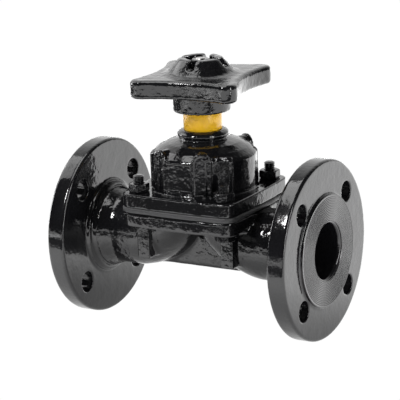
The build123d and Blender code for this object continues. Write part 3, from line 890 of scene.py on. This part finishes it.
class VALVE_OT_fasteners(bpy.types.Operator):
    """Studs with their threads, and the nuts above and below"""

    bl_idname = "valve.fasteners"
    bl_label = "Studs and Nuts"

    flats: length("Across Flats", "Nut size", 17.0 * MM)

    def execute(self, context):
        finish = fastener_enamel()
        pitch = sizes().thread_pitch
        low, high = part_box("bonnet_studs")
        threads = (top("bonnet_nuts") - 1 * MM, high[2] - 0.6 * MM)
        studs = [
            threaded_rod(centre, STUD_RADIUS, low[2], high[2], pitch, threads)
            for centre in stud_centres()
        ]
        piece = object_from(joined(studs), "threaded_studs", finish)
        piece.data.set_sharp_from_angle(angle=radians(50))
        ride(piece, "root", "painted_fastener", "bonnet_studs")
        bore = STUD_RADIUS + 0.05 * MM
        for name, node in (("upper_nuts", "bonnet_nuts"), ("lower_nuts", "body_nuts")):
            nuts = []
            for i, centre in enumerate(stud_centres()):
                turn = radians(11 + 17 * i)  # no two nuts stand alike
                nuts.append(hexagon_nut(centre, self.flats, bottom(node), top(node), bore, turn))
            piece = object_from(joined(nuts), name, finish)
            piece.data.set_sharp_from_angle(angle=radians(30))
            modifier = piece.modifiers.new("Bevel", "BEVEL")
            modifier.width = 0.35 * MM
            modifier.segments = 2
            modifier.angle_limit = radians(28)
            ride(piece, "root", "painted_fastener", node)
        return {"FINISHED"}


# ------------------------------------------------------- rings and rubber ----


class VALVE_OT_indicator(bpy.types.Operator):
    """Yellow sleeve on the neck that shows how far the valve is open"""

    bl_idname = "valve.indicator"
    bl_label = "Position Indicator"

    def execute(self, context):
        low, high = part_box("position_indicator")
        radius = high[0]
        inner = radius - 2.5 * MM
        soft = 0.45 * MM
        points = [
            (inner, low[2]), (radius - soft, low[2]), (radius, low[2] + soft),
            (radius, high[2] - 2 * soft), (radius - soft, high[2] - 0.3 * soft),
            (radius - 2 * soft, high[2]), (inner, high[2]),
        ]
        bm = turned(points, sizes().turn_steps)
        piece = object_from(bm, "indicator_sleeve", plastic_material("Indicator Plastic"))
        piece.data.set_sharp_from_angle(angle=radians(50))
        ride(piece, "root", "indicator_yellow", "position_indicator")
        return {"FINISHED"}


class VALVE_OT_diaphragm(bpy.types.Operator):
    """Moulded rubber diaphragm: a clamped rim, and a dome that follows the compressor"""

    bl_idname = "valve.diaphragm"
    bl_label = "Diaphragm"

    dome_radius: length("Dome Radius", "Edge of the free dome", 36.0 * MM)
    pressed_radius: length(
        "Pressed Radius", "Middle of the dome, which moves with the compressor", 14.0 * MM
    )
    rise: length("Rise", "Dome's middle above its edge", 10.0 * MM)
    thickness: length("Thickness", "Rubber and its fabric", 5.0 * MM)
    stud_radius: length("Stud Radius", "Hole for the stud in the upper side", 4.3 * MM)
    sectors: IntProperty(
        name="Sectors", description="Wedges that the dome bends in", default=8, min=4, max=24
    )

    def dome_height(self, radius):
        """Height of the dome's underside above its edge."""
        share = min(radius / self.dome_radius, 1.0)
        return self.rise * (1 - share ** 2) ** 0.5 * (1 - 0.25 * share ** 2)

    def execute(self, context):
        finish = rubber_material("Diaphragm Rubber")
        hole = bmesh.new()
        bmesh.ops.create_cone(
            hole, cap_ends=True, segments=96, radius1=self.dome_radius, radius2=self.dome_radius,
            depth=60 * MM, matrix=Matrix.Translation((0, 0, SEAT)),
        )
        rim = remeshed(without(bmesh_of("diaphragm"), hole), 1.1 * MM)
        smooth(rim, 2)
        ride(object_from(rim, "diaphragm_rim", finish), "root", "diaphragm_rubber", "diaphragm")
        hole_radius = self.stud_radius
        steps = 14
        radii = [self.dome_radius * (1 - (i / steps) ** 1.6) for i in range(steps + 1)]
        under = [(r, SEAT + self.dome_height(r)) for r in radii]
        over = [(r, z + self.thickness) for r, z in under if r > hole_radius]
        hole_floor = SEAT + self.rise + 0.3 * self.thickness
        loop = under + [(0.0, hole_floor), (hole_radius, hole_floor), (hole_radius, over[-1][1])]
        loop += reversed(over)
        sector = tau / self.sectors
        for i in range(self.sectors):
            bm = bmesh.new()
            verts = [bm.verts.new((r, 0, z)) for r, z in loop]
            face = bm.faces.new(verts)
            turn = Matrix.Rotation(sector * (i - 0.5), 3, "Z")
            bmesh.ops.rotate(bm, verts=bm.verts, cent=(0, 0, 0), matrix=turn)
            geometry = [face, *face.edges, *face.verts]
            bmesh.ops.spin(
                bm, geom=geometry, cent=(0, 0, 0), axis=(0, 0, 1), angle=sector, steps=6
            )
            bmesh.ops.remove_doubles(bm, verts=bm.verts, dist=1e-6)
            bmesh.ops.recalc_face_normals(bm, faces=bm.faces)
            piece = object_from(bm, f"diaphragm_dome_{i + 1}", finish)
            piece.data.set_sharp_from_angle(angle=radians(50))
            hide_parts("diaphragm")
            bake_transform(piece)
        return {"FINISHED"}


class VALVE_OT_inner_parts(bpy.types.Operator):
    """Finishes of the spindle, bush, compressor, pins, washers and seals"""

    bl_idname = "valve.inner_parts"
    bl_label = "Inner Parts"

    def execute(self, context):
        steel = metal_material("Turned Steel", colours().steel, 2100.0)
        bronze = metal_material("Turned Bronze", colours().bronze, 1800.0, stain=(0.1, 0.07, 0.03))
        seal = rubber_material("Seal Rubber")
        finishes = {
            "spindle": steel, "diaphragm_stud": steel, "retaining_pins": steel,
            "bush_retaining_ring": steel, "bush_locking_pin": steel,
            "spindle_bush": bronze, "thrust_washer": bronze,
            "spindle_o_ring": seal, "wiper_ring": seal,
            "compressor": iron_material("Compressor Iron"),
            "handwheel_nut": fastener_enamel(), "handwheel_washer": fastener_enamel(),
        }
        for node, finish in finishes.items():
            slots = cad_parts[node].material_slots
            if not slots:
                raise RuntimeError(f"{node} has no material slot")
            for slot in slots:
                slot.material = finish
        return {"FINISHED"}


# ------------------------------------------------------------------ stage ----


AIM = (0, 0, 0.12)
SOFT_BOXES = (  # name, place, width, height and watts
    ("front", (-0.45, -1.15, 1.3), 0.3, 0.3, 19),
    ("left_strip", (-1.5, 0.0, 0.22), 0.28, 0.5, 7),
    ("right_strip", (1.45, -0.5, 0.3), 0.16, 0.5, 4),
    ("left", (-1.0, 0.0, 0.95), 0.7, 0.8, 5),
    ("top", (-0.3, -0.1, 1.3), 0.9, 0.5, 6),
    ("right", (1.2, -0.35, 0.75), 0.22, 0.7, 5),
)


def soft_box(name, place, width, height, watts):
    """Rectangular area light that looks at the object."""
    light = bpy.data.lights.new(name, "AREA")
    light.shape = "RECTANGLE"
    light.size, light.size_y = width, height
    light.energy = watts
    lamp = bpy.data.objects.new(name, light)
    bpy.context.scene.collection.objects.link(lamp)
    lamp.location = place
    lamp.rotation_euler = (Vector(AIM) - Vector(place)).to_track_quat("-Z", "Y").to_euler()


def camera_or(tree, seen, mirrored):
    """One shader for what the camera sees directly, another for everything else."""
    path = tree.nodes.new("ShaderNodeLightPath")
    mix = tree.nodes.new("ShaderNodeMixShader")
    link(tree, path.outputs["Is Camera Ray"], mix.inputs[0])
    link(tree, mirrored, mix.inputs[1])
    link(tree, seen, mix.inputs[2])
    return mix.outputs[0]


def floor_material():
    """Plain pale floor; the gloss mirrors it as a bright sheet under and beside the object.

    The sheet ends before the object and at its left, is darker close to it, and comes back
    as a strip at the left and as a dimmer sheet far in front.
    """
    found = bpy.data.materials.new("Pale Floor")
    found.use_nodes = True
    tree = found.node_tree
    tree.nodes.clear()
    output = tree.nodes.new("ShaderNodeOutputMaterial")
    place = tree.nodes.new("ShaderNodeTexCoord").outputs["Object"]
    axes = split_axes(tree, place)
    before = remap(tree, axes["Y"], -0.325, -0.285)
    beside = remap(tree, axes["X"], -0.52, -0.36)
    oval = vector_maths(tree, "MULTIPLY", place, (0.6, 1.0, 0.0))[0]
    # painted shade: the floor's glow is dimmed close to the object, in place of the shadow it
    # casts
    painted_contact_shade = remap(tree, vector_maths(tree, "LENGTH", oval)["Value"], 0.03, 0.22, 0.28, 1.0)
    # painted glow: the floor glows brightly under and beside the object, as though lit there
    painted_glow_sheet = maths(tree, "MULTIPLY", maths(tree, "MULTIPLY", before, beside), painted_contact_shade)
    painted_glow_sheet = maths(tree, "ADD", painted_glow_sheet, remap(tree, axes["Y"], -0.72, -0.66, 0.9, 0.0))
    # painted glow: a bright strip on the floor at the left, in place of a soft box's reflection,
    # puts highlights on upright edges
    glow_strip_left_edge = remap(tree, axes["X"], -0.72, -0.69)
    glow_strip_right_edge = remap(tree, axes["X"], -0.64, -0.61, 1.0, 0.0)
    painted_glow_strip = maths(tree, "MULTIPLY", maths(tree, "MULTIPLY", glow_strip_left_edge, glow_strip_right_edge), 6.0)
    strength = maths(tree, "ADD", maths(tree, "MULTIPLY", painted_glow_sheet, 2.2), 0.12)
    strength = maths(tree, "ADD", strength, painted_glow_strip)
    glow = tree.nodes.new("ShaderNodeEmission")
    link(tree, strength, glow.inputs["Strength"])
    plain = tree.nodes.new("ShaderNodeEmission")
    plain.inputs["Color"].default_value = (*colours().floor, 1)
    plain.inputs["Strength"].default_value = 1.1
    link(tree, camera_or(tree, plain.outputs[0], glow.outputs[0]), output.inputs["Surface"])
    return found


def studio_world(back):
    """White to the camera; to the gloss, bright behind the object and dark before it."""
    world = bpy.data.worlds.new("Studio")
    bpy.context.scene.world = world
    world.use_nodes = True
    tree = world.node_tree
    tree.nodes.clear()
    output = tree.nodes.new("ShaderNodeOutputWorld")
    direction = tree.nodes.new("ShaderNodeTexCoord").outputs["Generated"]
    away = Vector((-back.x, -back.y, 0)).normalized()
    behind = vector_maths(tree, "DOT_PRODUCT", direction, away)["Value"]
    room = tree.nodes.new("ShaderNodeBackground")
    link(tree, remap(tree, behind, 0.25, 0.85, 0.04, 1.5), room.inputs["Strength"])
    white = tree.nodes.new("ShaderNodeBackground")
    white.inputs["Color"].default_value = (1, 1, 1, 1)
    white.inputs["Strength"].default_value = 1.0
    link(tree, camera_or(tree, white.outputs[0], room.outputs[0]), output.inputs["Surface"])


class VALVE_OT_stage(bpy.types.Operator):
    """Pale floor, soft lights and the camera"""

    bl_idname = "valve.stage"
    bl_label = "Stage and Camera"

    target: FloatVectorProperty(
        name="Target", description="Aim of the camera, from the pipe's axis below the spindle",
        default=(-5.97 * MM, 0.0, 33.95 * MM), subtype="XYZ_LENGTH", unit="LENGTH",
    )

    def execute(self, context):
        size = sizes()
        azimuth, elevation = size.view_azimuth, size.view_elevation
        back = Vector((
            sin(azimuth) * cos(elevation), -cos(azimuth) * cos(elevation), sin(elevation)
        ))
        bm = bmesh.new()
        bmesh.ops.create_grid(bm, x_segments=1, y_segments=1, size=6.0)
        bmesh.ops.translate(bm, verts=bm.verts, vec=(0, 0, FLANGE_LOW.z - 0.3 * MM))
        object_from(bm, "floor", floor_material(), shaded_smooth=False)
        studio_world(back)
        for box in SOFT_BOXES:
            soft_box(*box)
        camera_data = bpy.data.cameras.new("camera")
        camera_data.lens = size.view_lens
        camera_data.sensor_width = 36.0
        camera_data.clip_end = 50.0
        camera = bpy.data.objects.new("camera", camera_data)
        context.scene.collection.objects.link(camera)
        target = Vector(self.target) + Vector((0, 0, PIPE_AXIS))
        right = (-back).cross(Vector((0, 0, 1))).normalized()
        up = right.cross(-back)
        roll = size.view_roll
        x_axis = right * cos(roll) + up * sin(roll)
        y_axis = -right * sin(roll) + up * cos(roll)
        rotation = Matrix((x_axis, y_axis, back)).transposed().to_4x4()
        camera.matrix_world = Matrix.Translation(target + back * size.view_distance) @ rotation
        context.scene.camera = camera
        context.scene.view_settings.view_transform = "Standard"
        return {"FINISHED"}


class VALVE_PT_panel(bpy.types.Panel):
    """Buttons that build the valve's pieces"""

    bl_idname = "VALVE_PT_panel"
    bl_label = "Diaphragm Valve"
    bl_space_type = "VIEW_3D"
    bl_region_type = "UI"
    bl_category = "Valve"

    def draw(self, context):
        for step in STEPS:
            self.layout.operator(step.bl_idname)
        for group in (context.scene.valve_sizes, context.scene.valve_colours):
            box = self.layout.box()
            for name in group.bl_rna.properties.keys():
                if name not in ("rna_type", "name"):
                    box.prop(group, name)


STEPS = (
    VALVE_OT_stage,
    VALVE_OT_body_casting,
    VALVE_OT_facings,
    VALVE_OT_bonnet_casting,
    VALVE_OT_handwheel_casting,
    VALVE_OT_fasteners,
    VALVE_OT_indicator,
    VALVE_OT_diaphragm,
    VALVE_OT_inner_parts,
)
CLASSES = (ValveSizes, ValveColours, *STEPS, VALVE_PT_panel)


def register():
    for cls in CLASSES:
        bpy.utils.register_class(cls)
    bpy.types.Scene.valve_sizes = PointerProperty(type=ValveSizes)
    bpy.types.Scene.valve_colours = PointerProperty(type=ValveColours)


def unregister():
    del bpy.types.Scene.valve_colours
    del bpy.types.Scene.valve_sizes
    for cls in reversed(CLASSES):
        bpy.utils.unregister_class(cls)


def main():
    register()
    bpy.ops.valve.stage()
    bpy.ops.valve.body_casting()
    bpy.ops.valve.facings()
    bpy.ops.valve.bonnet_casting()
    bpy.ops.valve.handwheel_casting()
    bpy.ops.valve.fasteners()
    bpy.ops.valve.indicator()
    bpy.ops.valve.diaphragm()
    bpy.ops.valve.inner_parts()


if __name__ == "__main__":
    main()
